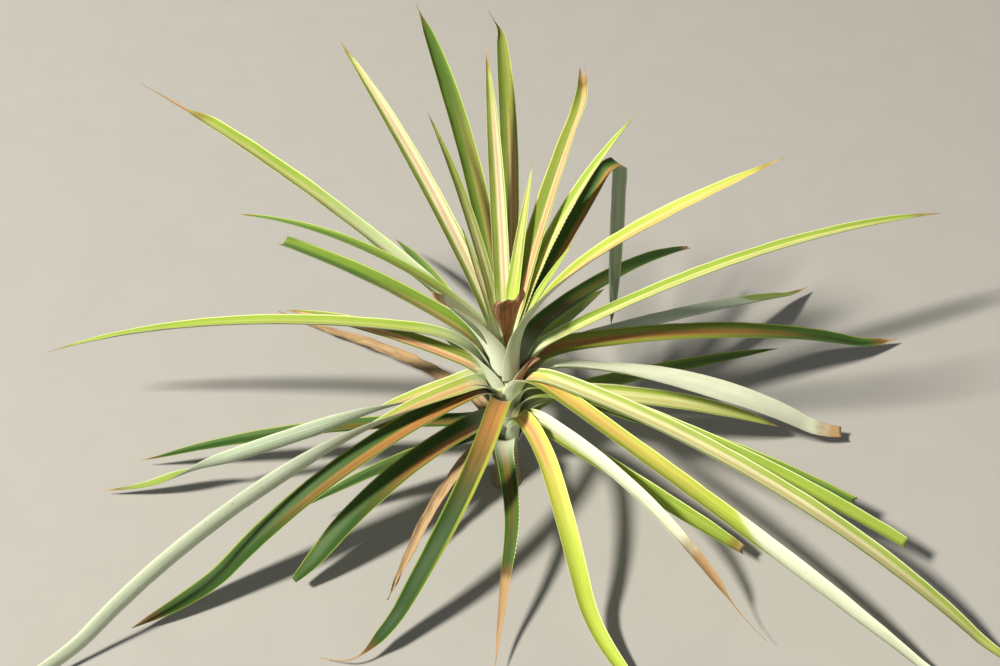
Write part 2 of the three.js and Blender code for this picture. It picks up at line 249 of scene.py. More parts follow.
# Noise laid on a leaf: how fine it is across and along, and how the leaf's seed moves it
leafNoise = {
    "bands": {"across": 4.2, "along": 0.8, "seedBy": 1.3, "detail": 2.0, "rough": 0.5},
    "fibre": {"across": 17.0, "along": 1.2, "seedBy": 1.0, "detail": 3.0, "rough": 0.65},
    "fine": {"across": 58.0, "along": 4.0, "seedBy": 1.0, "detail": 2.0, "rough": 0.6},
    "patch": {"across": 0.9, "along": 9.0, "seedBy": 1.0, "detail": 4.0, "rough": 0.6},
    "broad": {"across": 1.6, "along": 3.2, "seedBy": 1.7, "detail": 2.0, "rough": 0.5},
    "lines": {"across": 34.0, "along": 0.7, "seedBy": 1.0, "detail": 1.0, "rough": 0.5},
    "speck": {"across": 5.0, "along": 210.0, "seedBy": 2.3, "detail": 2.0, "rough": 0.6},
}
wander = {"drift": 0.5, "bands": 0.34, "fibre": 0.16}  # how far the noise moves the borders of colours


def layNoise(shader, skin, grain):
    sideways = skin.across * grain["across"] + skin.seed
    place = shader.vector(sideways, skin.metres * grain["along"], skin.seed * grain["seedBy"])
    return shader.cloud(place, 1.0, grain["detail"], grain["rough"])


def readSkin(shader):
    skin = SimpleNamespace(**{mark: shader.read(mark) for mark in placeMarks + lookMarks})
    for name, grain in leafNoise.items():
        setattr(skin, name, layNoise(shader, skin, grain))
    skin.sideways = shader.size(skin.across)
    skin.drift = skin.patch.swing(wander["drift"])
    moved = skin.bands.swing(wander["bands"]), skin.fibre.swing(wander["fibre"])
    # shift moves the warm band across the leaf, mostly onto the wall that faces the sun, which paints light
    # on one wall and shade on the other
    skin.aside = shader.size(skin.across - skin.shift) + moved[0] + moved[1]
    return skin


# The warm channel of the upper face: darker along its middle, light on both sides of it, with red
# lines, and green from reach on. A pair is where a step starts and ends, or a least cover and its growth
channelPaint = {
    "fade": (0.55, 0.95), "fadeBy": 0.65, "settle": (0.12, 0.45), "settleDrift": 0.4,
    "core": (0.02, 0.2), "coreCover": (0.12, 0.36),
    "flankIn": (0.1, 0.3), "flankOut": (0.34, 0.6), "flankCover": (0.3, 0.8),
    "redLine": (0.58, 0.68), "redOut": (0.3, 0.6), "redCover": (0.22, 0.3),
    "greenBefore": 0.16, "greenAfter": 0.18, "greenDrift": 0.5, "coolCover": (0.6, 0.5),
}


def paintChannel(shader, skin, look):
    rule = channelPaint
    fading = 1.0 - shader.rise(skin.along, *rule["fade"]) * rule["fadeBy"]
    settled = shader.rise(skin.along + skin.drift * rule["settleDrift"], *rule["settle"])
    color = shader.blend(settled, tint(look["heart"]), tint(look["middle"]))
    least, more = rule["coreCover"]
    core = shader.fall(skin.aside, *rule["core"]) * fading
    color = shader.blend(core * (least + look["stripe"] * more), color, tint(look["blush"]))
    least, more = rule["flankCover"]
    flank = shader.rise(skin.aside, *rule["flankIn"]) * shader.fall(skin.aside, *rule["flankOut"]) * fading
    color = shader.blend(flank * look["stripe"] * (least + skin.bands * more), color, tint(look["line"]))
    least, more = rule["redCover"]
    redLine = shader.rise(skin.fibre, *rule["redLine"]) * shader.fall(skin.aside, *rule["redOut"]) * fading
    color = shader.blend(redLine * (least + look["stripe"] * more), color, tint(look["blush"]))
    greenFrom, greenTo = skin.reach - rule["greenBefore"], skin.reach + rule["greenAfter"]
    greened = shader.rise(skin.along + skin.drift * rule["greenDrift"], greenFrom, greenTo)
    color = shader.blend(greened, color, tint(look["outer"]))
    least, more = rule["coolCover"]
    return shader.blend((1.0 - skin.warm) * (least + skin.broad * more), color, tint(look["outer"]))


# The rest of the upper face: green sides, yellow towards the base on some leaves (partly their own yellow,
# partly painted sunlight), a rim, fine veins and pale lines, a fresh base on the youngest leaves and a
# thin light edge (partly the margin's own pale colour, partly a painted highlight)
upperPaint = {
    "mottle": (0.35, 0.7), "mottleCover": 0.5, "glowOut": (0.3, 0.75), "glowDrift": 0.3,
    "sideDrift": 0.2, "sideSoft": (-0.12, 0.2), "rim": (0.72, 0.92), "rimFibre": 0.16, "rimCover": 0.5,
    "vein": (0.48, 0.7), "veinCover": 0.42, "pale": (0.54, 0.72), "paleCover": 0.3,
    "freshFrom": 0.45, "freshEase": 0.02, "freshTo": 1.2, "freshLeast": 0.001, "freshDrift": 0.05,
    "freshCover": (0.55, 0.5), "edge": (0.87, 0.95), "edgeCover": 0.85,
}


def paintUpper(shader, skin, look):
    rule = upperPaint
    mottled = shader.rise(skin.broad, *rule["mottle"]) * rule["mottleCover"]
    side = shader.blend(mottled, tint(look["margin"]), tint(look["outer"]))
    # Painted sunlight: glow lays a bright yellow on the sides towards the base, partly the leaf's own
    # yellow
    glowing = skin.glow * shader.fall(skin.along + skin.drift * rule["glowDrift"], *rule["glowOut"])
    side = shader.blend(glowing, side, tint(sharedTints["glow"]))
    sideFrom = skin.band * look["sideFrom"] + skin.drift * rule["sideDrift"]
    toSide = shader.rise(skin.aside - sideFrom, *rule["sideSoft"])
    color = shader.blend(toSide, paintChannel(shader, skin, look), side)
    rim = shader.rise(skin.sideways + skin.fibre.swing(rule["rimFibre"]), *rule["rim"])
    color = shader.blend(rim * rule["rimCover"], color, tint(look["margin"]))
    vein = shader.rise(1.0 - skin.fine, *rule["vein"])
    color = shader.blend(vein * rule["veinCover"], color, tint(sharedTints["vein"]))
    pale = shader.rise(skin.fine, *rule["pale"])
    color = shader.blend(pale * rule["paleCover"] * look["stripe"], color, tint(look["line"]))
    freshFrom = skin.fresh * rule["freshFrom"] - rule["freshEase"]
    freshTo = skin.fresh * rule["freshTo"] + rule["freshLeast"]
    least, more = rule["freshCover"]
    fresh = shader.fall(skin.metres + skin.drift * rule["freshDrift"], freshFrom, freshTo)
    color = shader.blend(fresh * (least + skin.fibre * more), color, tint(sharedTints["fresh"]))
    # The thin light edge is partly the margin's own pale colour and partly a painted highlight
    edge = shader.rise(skin.sideways, *rule["edge"])
    return shader.blend(edge * rule["edgeCover"], color, tint(look["edge"]))


# The under face: a bloom in fine lengthwise lines, with patches of painted shade and, on some leaves,
# painted light. It also shows where a leaf is turned over
underPaint = {
    "line": (0.42, 0.6), "lineCover": 0.55, "shade": (0.5, 0.75), "shadeCover": 0.4,
    "edge": (0.82, 0.96), "edgeCover": 0.5, "litCover": (0.6, 0.5),
    "slant": 0.05, "slantDrift": 0.12, "turnBefore": 0.02, "turnAfter": 0.03,
}


def paintUnder(shader, skin, look):
    rule = underPaint
    lined = skin.ridge * rule["lineCover"]
    color = shader.blend(lined, tint(look["under"]), tint(sharedTints["underLine"]))
    # Painted shade: darker teal patches on the under face
    shade = shader.rise(skin.broad, *rule["shade"])
    color = shader.blend(shade * rule["shadeCover"], color, tint(sharedTints["underShade"]))
    edge = shader.rise(skin.sideways, *rule["edge"])
    color = shader.blend(edge * rule["edgeCover"], color, tint(sharedTints["underEdge"]))
    # Painted light: a pale cream laid in patches on the under face where it catches the sun, as much as the
    # leaf's bright asks
    least, more = rule["litCover"]
    return shader.blend(skin.bright * (least + skin.patch * more), color, tint(sharedTints["underLit"]))


def turnedOver(shader, skin):
    before, after = underPaint["turnBefore"], underPaint["turnAfter"]
    slanted = skin.along + skin.across * underPaint["slant"] + skin.drift * underPaint["slantDrift"]
    turned = shader.rise(slanted, skin.turnFrom - before, skin.turnFrom + after)
    turned = turned * shader.fall(slanted, skin.turnTo - before, skin.turnTo + after)
    return skin.under + (1.0 - skin.under) * turned


# Wear on both faces: pale bloom at the sheath, a dry tip behind a rust line, specks and light teeth
wearPaint = {
    "sheathDrift": 0.05, "sheathFrom": 0.15, "sheathCover": 0.8,
    "frayFibre": 0.06, "frayPatch": 0.05, "dryBefore": 0.012, "dryAfter": 0.022,
    "rustFibre": 0.08, "rustFrom": 0.05, "rustTo": 0.005, "rustCover": 0.6,
    "speck": (0.7, 0.76), "speckCover": 0.5, "tooth": (1.05, 1.15),
    "value": 0.94, "toneValue": 0.24, "patchValue": 0.3, "fineValue": 0.24,
    "underRough": 0.16, "dryRough": 0.35, "fineRough": 0.18, "sheathRough": 0.1,
    "fibreHigh": 0.6, "fineHigh": 0.6, "patchHigh": 0.25, "lineHigh": 0.5, "bump": (0.4, 0.0011),
}


def makeLeafMaterial(name, look):
    rule = wearPaint
    shader = Shader(name)
    skin = readSkin(shader)
    skin.ridge = shader.rise(skin.lines, *underPaint["line"])
    below = turnedOver(shader, skin)
    color = shader.blend(below, paintUpper(shader, skin, look), paintUnder(shader, skin, look))
    sheathAt = skin.metres + skin.drift * rule["sheathDrift"]
    sheath = shader.fall(sheathAt, skin.bloom * rule["sheathFrom"], skin.bloom) * rule["sheathCover"]
    color = shader.blend(sheath, color, tint(sharedTints["bloom"]))
    frayed = skin.along + skin.fibre.swing(rule["frayFibre"]) + skin.patch.swing(rule["frayPatch"])
    dryness = shader.rise(frayed, skin.dry - rule["dryBefore"], skin.dry + rule["dryAfter"])
    rusty = skin.along + skin.fibre.swing(rule["rustFibre"])
    rust = shader.rise(rusty, skin.dry - rule["rustFrom"], skin.dry - rule["rustTo"]) * (1.0 - dryness)
    color = shader.blend(rust * rule["rustCover"], color, tint(sharedTints["rust"]))
    straw = shader.blend(skin.fibre, tint(sharedTints["strawShade"]), tint(sharedTints["straw"]))
    color = shader.blend(dryness, color, straw)
    speck = shader.rise(skin.speck, *rule["speck"])
    color = shader.blend(speck * rule["speckCover"], color, tint(sharedTints["speck"]))
    # tone lightens or darkens a whole leaf: partly its own tone, partly painted light and shade for how lit
    # the leaf stands
    value = rule["value"] + skin.tone * rule["toneValue"]
    value = value + skin.patch.swing(rule["patchValue"]) + skin.fine.swing(rule["fineValue"])
    color = shader.node("ShaderNodeHueSaturation", None, {"Value": value, "Color": color})
    color = shader.blend(shader.rise(skin.sideways, *rule["tooth"]), color, tint(sharedTints["tooth"]))
    roughness = look["gloss"] + below * rule["underRough"] + dryness * rule["dryRough"]
    roughness = roughness + skin.fine.swing(rule["fineRough"]) + sheath * rule["sheathRough"]
    height = skin.fibre * rule["fibreHigh"] + skin.fine * rule["fineHigh"] + skin.patch * rule["patchHigh"]
    height = height + skin.ridge * below * rule["lineHigh"]
    return shader.finish(color, roughness, shader.bump(height, *rule["bump"]))


# Dead leaves: fibres of two colours, darker spots and a few pale threads
dryLooks = {
    "straw_leaf": {"base": "c4a678", "deep": "85684a", "spot": "664a32"},
    "brown_leaf": {"base": "b58c72", "deep": "80563e", "spot": "54362a"},
}
dryNoise = {
    "fibre": {"across": 14.0, "along": 4.0, "seedBy": 1.0, "detail": 4.0, "rough": 0.7},
    "patch": {"across": 1.4, "along": 26.0, "seedBy": 1.0, "detail": 5.0, "rough": 0.65},
    "thread": {"across": 30.0, "along": 12.0, "detail": 2.0, "rough": 0.5},
}
dryPaint = {
    "fibre": (0.32, 0.68), "spot": (0.52, 0.72), "spotCover": 0.6,
    "thread": (0.6, 0.75), "threadCover": 0.5, "threadTint": "ddc7a0",
    "roughness": 0.78, "fibreRough": 0.2, "fibreHigh": 0.8, "patchHigh": 0.7, "bump": (0.8, 0.0022),
}


def makeDryMaterial(name, look):
    shader = Shader(name)
    skin = SimpleNamespace(**{mark: shader.read(mark) for mark in ("across", "metres", "seed")})
    fibre = layNoise(shader, skin, dryNoise["fibre"])
    patch = layNoise(shader, skin, dryNoise["patch"])
    grain = dryNoise["thread"]
    threadAt = shader.vector(skin.across * grain["across"], skin.metres * grain["along"], skin.seed)
    thread = shader.rise(shader.cloud(threadAt, 1.0, grain["detail"], grain["rough"]), *dryPaint["thread"])
    color = shader.blend(shader.rise(fibre, *dryPaint["fibre"]), tint(look["deep"]), tint(look["base"]))
    spot = shader.rise(patch, *dryPaint["spot"])
    color = shader.blend(spot * dryPaint["spotCover"], color, tint(look["spot"]))
    color = shader.blend(thread * dryPaint["threadCover"], color, tint(dryPaint["threadTint"]))
    roughness = dryPaint["roughness"] + fibre.swing(dryPaint["fibreRough"])
    height = fibre * dryPaint["fibreHigh"] + patch * dryPaint["patchHigh"]
    return shader.finish(color, roughness, shader.bump(height, *dryPaint["bump"]))


# The stem's skin: pale green, brown at the leaf scars, earthy at the foot
stemLook = {
    "skin": "d6daae", "shade": "b9be86", "streak": "f0eed0",
    "scar": "7c5a36", "earth": "7a5e41", "fleck": "5b4128",
    "mottleNoise": (60.0, 5.0, 0.6), "mottle": (0.35, 0.65), "flecks": (0.66, 0.74), "fleckCover": 0.6,
    "streakAround": 30.0, "streakUp": 26.0, "streakLayer": 0.4, "streakNoise": (1.0, 3.0, 0.6),
    "streaks": (0.5, 0.7), "streakCover": 0.5, "scars": (0.35, 0.8), "scarCover": 0.8,
    "earthTo": (0.02, 0.12), "earthDrift": 0.05, "earthCover": 0.65,
    "roughness": 0.72, "mottleRough": 0.25,
    "mottleHigh": 0.6, "streakHigh": 0.5, "scarDeep": 0.6, "bump": (0.6, 0.0016),
}


def makeStemMaterial():
    look = stemLook
    shader = Shader("stem_skin")
    around, height = shader.read("across"), shader.read("metres")
    ring = shader.rise(shader.read("scar"), *look["scars"])
    mottle = shader.cloud(shader.objectPlace(), *look["mottleNoise"])
    streakAt = shader.vector(around * look["streakAround"], height * look["streakUp"], look["streakLayer"])
    streak = shader.cloud(streakAt, *look["streakNoise"])
    color = shader.blend(shader.rise(mottle, *look["mottle"]), tint(look["skin"]), tint(look["shade"]))
    streaked = shader.rise(streak, *look["streaks"])
    color = shader.blend(streaked * look["streakCover"], color, tint(look["streak"]))
    color = shader.blend(ring * look["scarCover"], color, tint(look["scar"]))
    earthy = shader.fall(height + mottle.swing(look["earthDrift"]), *look["earthTo"])
    color = shader.blend(earthy * look["earthCover"], color, tint(look["earth"]))
    flecked = shader.rise(mottle, *look["flecks"])
    color = shader.blend(flecked * look["fleckCover"], color, tint(look["fleck"]))
    relief = mottle * look["mottleHigh"] + streak * look["streakHigh"] - ring * look["scarDeep"]
    roughness = look["roughness"] + mottle.swing(look["mottleRough"])
    return shader.finish(color, roughness, shader.bump(relief, *look["bump"]))


materials = {name: makeLeafMaterial(name, look) for name, look in leafLooks.items()}
for dryName, dryLook in dryLooks.items():
    materials[dryName] = makeDryMaterial(dryName, dryLook)
materials["stem"] = makeStemMaterial()
print("materials made:", len(materials))

# The stem, in millimetres: lean for each unit of height, and radius by height
stem = {
    "leanX": -0.02, "leanY": 0.25, "tipHeight": 268, "sides": 72, "rings": 150,
    "scarPitch": 16, "scarDepth": 0.8, "scarWave": 3.0, "wavePitch": 0.02, "scarShare": 0.09,
    "lumpHeight": 0.8, "lumpAround": 2, "lumpPitch": 0.05,
    "footEase": 6, "tipEase": 10, "mergeMetres": 1e-5,
    "outline": [
        (0, 27), (8, 23.5), (22, 21), (60, 19.5), (110, 20), (150, 22.5),
        (185, 25), (212, 22), (232, 17), (248, 11), (258, 7), (265, 3.5), (268, 0),
    ],
}


def smooth(share):
    held = min(max(share, 0.0), 1.0)
    return held * held * (3 - 2 * held)


def mix(one, other, share):
    return one + (other - one) * share


def stemRadius(height):
    outline = stem["outline"]
    for (lowZ, lowR), (highZ, highR) in zip(outline, outline[1:]):
        if height <= highZ:
            return mix(lowR, highR, (height - lowZ) / (highZ - lowZ))
    return 0.0


def leanPoint(x, y, z):
    return Vector((x + stem["leanX"] * z, y + stem["leanY"] * z, z))


def makeTube(sides, rows):
    # A closed tube of radius 1 and height 1 round the origin, cut into rows
    bm = bmesh.new()
    bmesh.ops.create_cone(bm, cap_ends=True, segments=sides, radius1=1, radius2=1, depth=1)
    upright = [edge for edge in bm.edges if edge.verts[0].co.z != edge.verts[1].co.z]
    bmesh.ops.subdivide_edges(bm, edges=upright, cuts=rows - 1, use_grid_fill=False)
    return bm


def meshFrom(bm, name):
    bmesh.ops.recalc_face_normals(bm, faces=bm.faces)
    mesh = bpy.data.meshes.new(name)
    bm.to_mesh(mesh)
    bm.free()
    return mesh


def addPiece(name, mesh, nodes, material):
    mesh.materials.append(material)
    for face in mesh.polygons:
        face.use_smooth = True
    piece = bpy.data.objects.new(name, mesh)
    bpy.context.scene.collection.objects.link(piece)
    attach(piece, "root")
    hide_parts(*nodes)


def scarDepth(angle, height):
    # Leaf scars climb the stem as one wavy spiral: 1 in the middle of a scar, 0 between two
    around = Vector((math.cos(angle), math.sin(angle), height * stem["wavePitch"]))
    wave = noise.noise(around) * stem["scarWave"]
    climbed = (height + wave + angle / (2 * math.pi) * stem["scarPitch"]) / stem["scarPitch"]
    return max(0.0, 1 - abs(climbed % 1 - 0.5) / stem["scarShare"])


def stemLump(angle, height):
    wide = stem["lumpAround"]
    return noise.noise(Vector((math.cos(angle) * wide, math.sin(angle) * wide, height * stem["lumpPitch"])))


def makeStem():
    bm = makeTube(stem["sides"], stem["rings"])
    layers = {key: bm.verts.layers.float.new(key) for key in ("across", "metres", "scar")}
    for vert in bm.verts:
        height = (vert.co.z + 0.5) * stem["tipHeight"]
        angle = math.atan2(vert.co.y, vert.co.x)
        scar = scarDepth(angle, height)
        held = smooth(height / stem["footEase"]) * smooth((stem["tipHeight"] - height) / stem["tipEase"])
        relief = stemLump(angle, height) * stem["lumpHeight"] - scar * stem["scarDepth"]
        radius = stemRadius(height) + relief * held
        vert[layers["across"]] = angle / math.pi
        vert[layers["metres"]] = height / 1000
        vert[layers["scar"]] = scar * held
        vert.co = leanPoint(radius * math.cos(angle), radius * math.sin(angle), height) / 1000
    bmesh.ops.remove_doubles(bm, verts=bm.verts, dist=stem["mergeMetres"])
    addPiece("stem_skin", meshFrom(bm, "stem_skin"), ["stem"], materials["stem"])
    print("stem made")


# What all leaves share, in millimetres and degrees. They run as the solids do, with thinner blades
leafShape = {
    "seatGap": 0.3, "facetAllowance": 1.04, "sheathAngle": 82, "stemLeanAngle": 14,
    "sheathThickness": 3.0, "thinFrom": 0.6, "bladeThickness": 2.3,
    "marginThickness": 0.6, "tipThickness": 0.8, "tipWidth": 1.2,
    "wispWidth": 0.22, "wispRun": 0.08, "groundEase": 60,
    "columns": 28, "spacing": 5.5, "fewestRows": 8, "spread": 1.15, "walkStep": 3.0,
}
# Finer than in the solids: a rounded section, waver along the blade, rippled margins, torn ends, folds
leafDetail = {
    "thickest": 0.6, "roundness": 0.8, "seedSpan": 40, "draw": 11, "seedSpread": 10, "underFrom": -0.01,
    "waverTurn": 2.5, "waverPitch": 0.006, "waverLayer": 3.1, "waverRun": 150,
    "rippleHeight": 0.9, "ripplePitch": 0.03, "rippleLayer": 0.5, "rippleSides": (2.0, 7.0),
    "tearPitch": 3.0, "tearLayer": 1.7, "tearCentre": 0.8, "tearShares": (0.6, 0.4),
    "tearFrom": 0.9, "tearRun": 0.1,
    "foldAcross": 1.6, "foldAlong": 0.045, "foldSideways": 0.6, "foldApart": 9.0,
}
leafDefaults = {
    "wrap": 56, "sheath": 90,  # how far the base wraps the stem to each side, and how soon it opens
    "cup": 43, "crook": 120, "sweep": 0, "roll": 0,  # channel, run of the first bend, turn, tilt
    "taper": 4.5, "blunt": 0, "wisp": 0, "rest": 12,  # narrowing, cut end, thin end, height at rest
    "bends": [], "twists": [], "swerves": [],  # down, round and aside: where, over how much, by how much
    "torn": 0, "waver": 1.0, "crumple": 0.0, "teeth": 0, "toothFrom": 0.1, "toothTo": 0.6,
    "reach": None, "warm": 1.0, "shift": 0.0, "band": 1.0,  # the warm channel: length, warmth, place, width; the place is set towards the sunlit wall, as painted light
    "tone": 0.0, "glow": 0.0, "fresh": 0.0, "bright": 0.0,  # lighter (partly painted light and shade), yellow sides (partly painted sunlight), lime base, painted light on the under face
    "dry": 0.97, "bloom": 0.085, "turnFrom": 3.0, "turnTo": 4.0,  # dry tip, pale base, stretch turned over
}


def leaf(name, turn, foot, length, width, lead, fall, tintName, **more):
    made = {**leafDefaults, "name": name, "turn": turn, "foot": foot, "length": length, "width": width}
    made.update({"lead": lead, "fall": fall, "tint": tintName}, **more)
    return made


# Each leaf: its turn round the stem, height of its foot, length, width, its slope after the first
# bend, how much that slope falls by the tip, and its tint
# Among these looks, tone, glow, bright and shift partly paint light and shade: leaves lying in shade get a
# low tone and the dark tint, and sunlit walls and under faces are painted lighter
leaves = [
    # Heart and back
    leaf("heart_leaf_1", 66, 262, 300, 27, 76, 8, "lime", taper=2, tone=0.3, warm=0.85, dry=0.985,
         fresh=0.14, reach=1.1),
    leaf("heart_leaf_2", 94.5, 260, 460, 29, 69, 4, "pale", sweep=8, tone=0.3, reach=0.84, fresh=0.1,
         shift=-0.3, band=0.9),
    leaf("heart_leaf_3", 80.5, 253, 526, 31, 62, 2, "bronze", sweep=24, taper=8, wisp=0.94,
         swerves=[(470, 40, 60)], tone=-0.05, reach=0.62, shift=-0.35, fresh=0.1, warm=0.75),
    leaf("heart_leaf_4", 104, 256, 548, 36, 60, 8, "green", sweep=24, taper=8, wisp=0.95, tone=0.1,
         reach=0.62, warm=0.8, shift=-0.35, fresh=0.12),
    leaf("heart_leaf_5", 122, 258, 388, 22, 71, 14, "pale", sweep=16, tone=0.1, warm=0.5, reach=0.6,
         fresh=0.1),
    leaf("heart_leaf_6", 56, 252, 470, 37, 68, 0, "bronze", sweep=-24, blunt=0.25,
         swerves=[(380, 70, 60)], torn=26, reach=0.98, dry=0.965, shift=-0.35, band=0.9, fresh=0.06),
    leaf("heart_leaf_7", 128, 247, 208, 16, 66, 10, "pale", tone=0.1, teeth=-1, toothTo=0.75),
    leaf("heart_leaf_8", 22, 240, 222, 17, 64, 8, "lime", tone=0.2, warm=0.5, fresh=0.08),
    leaf("back_leaf_1", 129, 243, 565, 34, 52, 22, "pale", reach=0.9, tone=0.2, shift=-0.25),
    leaf("back_leaf_2", 48, 245, 446, 31, 68, 12, "lime", sweep=-46, teeth=-1, toothTo=0.62,
         tone=0.15, reach=0.9, shift=-0.35, fresh=0.05),
    # Left
    leaf("left_leaf_1", 150, 210, 780, 50, 33, 21, "lime", taper=10, wisp=0.84, roll=22, wrap=96,
         dry=0.85, tone=0.7, warm=0.5, bloom=0.5, reach=0.9),
    leaf("left_leaf_2", 160, 236, 515, 26, 44, 54, "green", roll=10, wrap=72, tone=0.2, warm=0.4,
         bloom=0.16),
    leaf("left_leaf_3", 155, 198, 435, 50, 25, 23, "green", blunt=0.8, roll=18, torn=5, reach=0.5,
         tone=-0.5, dry=1.1, shift=0.2),
    leaf("left_leaf_4", 172, 176, 850, 41, 9, 34, "lime", crook=190, roll=18, wrap=92, warm=0.2,
         bloom=0.2, tone=-0.1),
    leaf("left_leaf_5", 167, 166, 385, 36, 24, 24, "bronze", crook=90, reach=1.1, tone=0.15,
         shift=0.15),
    leaf("left_leaf_6", 194, 172, 715, 38, -12, 13, "silver", sweep=-14, crook=70,
         twists=[(80, 260, 95), (470, 150, -95)], glow=0.3),
    leaf("left_leaf_7", 208.5, 166, 980, 38, 7, 50, "silver", sweep=9, crook=80, taper=10,
         twists=[(60, 360, 95)], tone=0.1, glow=0.2, bright=0.3),
    leaf("left_leaf_8", 213.5, 158, 715, 45, 5, 56, "dark", sweep=-4, crook=80, taper=9, reach=0.52,
         tone=-0.4, shift=0.3),
    leaf("left_leaf_9", 214, 106, 445, 45, 6, 46, "dark", sweep=8, crook=60, taper=9, blunt=0.3,
         reach=0.5, tone=-0.3, shift=0.35, dry=1.1),
    leaf("left_leaf_10", 200, 74, 360, 30, 2, 24, "dark", crook=60, warm=0.2, tone=-0.2),
    leaf("left_leaf_11", 180, 84, 640, 34, 2, 22, "dark", crook=60, warm=0.2, tone=-0.1),
    leaf("broken_leaf", 218, 216, 240, 48, 76, 34, "silver", sweep=-12, crook=150, blunt=0.5, wrap=88,
         sheath=130, dry=0.9, torn=8, turnFrom=-1, turnTo=2, bloom=0.2, bright=0.5, tone=0.35),
    # Front
    # front_leaf_1's dark tint and low tone paint the shade over its upper face; its glow paints its sunlit
    # margin
    leaf("front_leaf_1", 263, 138, 600, 38, 2, 62, "dark", sweep=-48, wisp=0.86,
         swerves=[(520, 60, -50)], dry=0.88, reach=0.3, tone=-0.6, glow=0.8, shift=-0.12, band=2.1),
    leaf("front_leaf_2", 264, 78, 425, 32, 10, 50, "dark", sweep=4, crook=50, taper=2,
         swerves=[(20, 60, 12), (120, 140, -17)], dry=0.66, warm=0.2, bloom=0.1, teeth=1, tone=-0.1),
    leaf("front_leaf_3", 300, 105, 640, 34, 0, 66, "gold", swerves=[(60, 160, -14), (340, 160, 16)],
         reach=0.3, tone=0.1, glow=0.9, band=1.2),
    # Right
    leaf("right_leaf_1", -30, 164, 960, 44, 8, 46, "pale", sweep=2, taper=9, roll=-10, wrap=74,
         tone=0.2, warm=0.55, reach=0.85),
    leaf("right_leaf_2", -21, 150, 706, 40, -1, 22, "lime", blunt=0.6, torn=4, tone=0.2, warm=0.3,
         dry=1.1),
    leaf("right_leaf_3", -41.5, 168, 900, 44, -5, 24, "gold", sweep=14, taper=7, roll=-14, tone=0.2,
         warm=0.6, reach=0.34, turnFrom=0.55, bright=0.9, shift=0.3, glow=0.4),
    leaf("right_leaf_4", -40.5, 100, 590, 27, 10, 52, "pale", sweep=-5, wisp=0.84, dry=0.7, tone=0.2,
         turnFrom=0.17, turnTo=0.8, bright=0.8),
    leaf("right_leaf_5", -40.5, 90, 476, 38, -4, 24, "lime", sweep=23, taper=7, blunt=0.5, torn=4,
         dry=0.975, tone=0.1, warm=0.6),
    leaf("right_leaf_6", 4, 168, 640, 42, -1, 40, "silver", crook=100, taper=8, blunt=0.5,
         twists=[(30, 70, -28), (120, 260, 50)], tone=0.3, bright=0.9, turnFrom=-1, turnTo=2, dry=0.95),
    leaf("right_leaf_7", 6, 106, 515, 46, -2, 26, "pale", taper=6, warm=0.3, tone=0.7, bright=0.4),
    leaf("right_leaf_8", 21, 170, 850, 46, -5, 26, "dark", crook=130, taper=10, reach=0.66, tone=0.3,
         shift=0.15, band=0.8, glow=0.4),
    leaf("right_leaf_9", 31, 160, 785, 44, -8, 18, "silver", sweep=10, taper=8, roll=-14, turnFrom=-1,
         turnTo=0.77, bright=0.3),
    leaf("right_leaf_10", 26, 80, 580, 36, -7, 6, "green", warm=0.1),
    leaf("right_leaf_11", 22, 184, 850, 34, 20, 30, "lime", crook=110, taper=8, roll=-14, wrap=84,
         tone=0.2, warm=0.7, bloom=0.14, shift=-0.1, reach=0.9, dry=0.96),
    leaf("right_leaf_12", -50, 208, 634, 40, 82, 64, "gold", sweep=68, crook=152, wrap=50, sheath=100,
         tone=0.15, reach=0.95, bloom=0.1, shift=-0.15, band=1.3),
    leaf("right_leaf_13", -15, 130, 616, 36, -4, 16, "green", blunt=0.5, torn=8, warm=0.2, dry=1.1),
    # The leaf folded over at the back, whose hanging part goes on from its end
    leaf("folded_leaf", 37, 238, 352, 36, 57, 4, "dark", crook=110, blunt=0.8, bends=[(326, 26, 60)],
         reach=1.1, shift=-0.6, band=1.4, tone=0.3),
    leaf("folded_leaf_tip", 37, 0, 355, 34, -88, 0, "silver", after="folded_leaf", startSlope=2,
         crook=16, cup=14),
    # Low at the back
    leaf("back_leaf_3", 46, 196, 512, 36, 9, 34, "dark", blunt=0.3, warm=0.1, tone=-0.1),
    leaf("back_leaf_4", 52, 156, 290, 34, 2, 10, "silver", warm=0.1, tone=-0.1),
    leaf("shaded_leaf_1", 82, 100, 290, 30, 0, 30, "dark", warm=0.2),
    leaf("shaded_leaf_2", 100, 78, 240, 28, 4, 30, "dark", warm=0.2),
    leaf("shaded_leaf_3", 120, 110, 230, 30, 0, 24, "dark", warm=0.2),
    leaf("back_leaf_5", 112, 130, 620, 30, -3, 20, "green", warm=0.3),
    # Dead leaves and dry scraps
    leaf("dead_leaf_1", 217, 46, 370, 22, -20, 10, "straw", sweep=36, waver=3.0, crumple=3.0),
    leaf("dead_leaf_2", 125, 52, 620, 28, -10, 6, "straw", sweep=26, waver=3.0, crumple=3.0),
    leaf("withered_leaf_1", -60, 258, 122, 66, 84, 6, "brown", crook=40, taper=9, blunt=0.7, wrap=20,
         sheath=116, cup=34, waver=2.0, torn=16, crumple=9.0),
    leaf("withered_leaf_2", -14, 187, 74, 16, 50, 20, "brown", waver=2.0, crumple=3.0),
]
leafNamed = {one["name"]: one for one in leaves}


def bentBy(bends, along):
    return sum(by * smooth((along - at) / over) for at, over, by in bends)


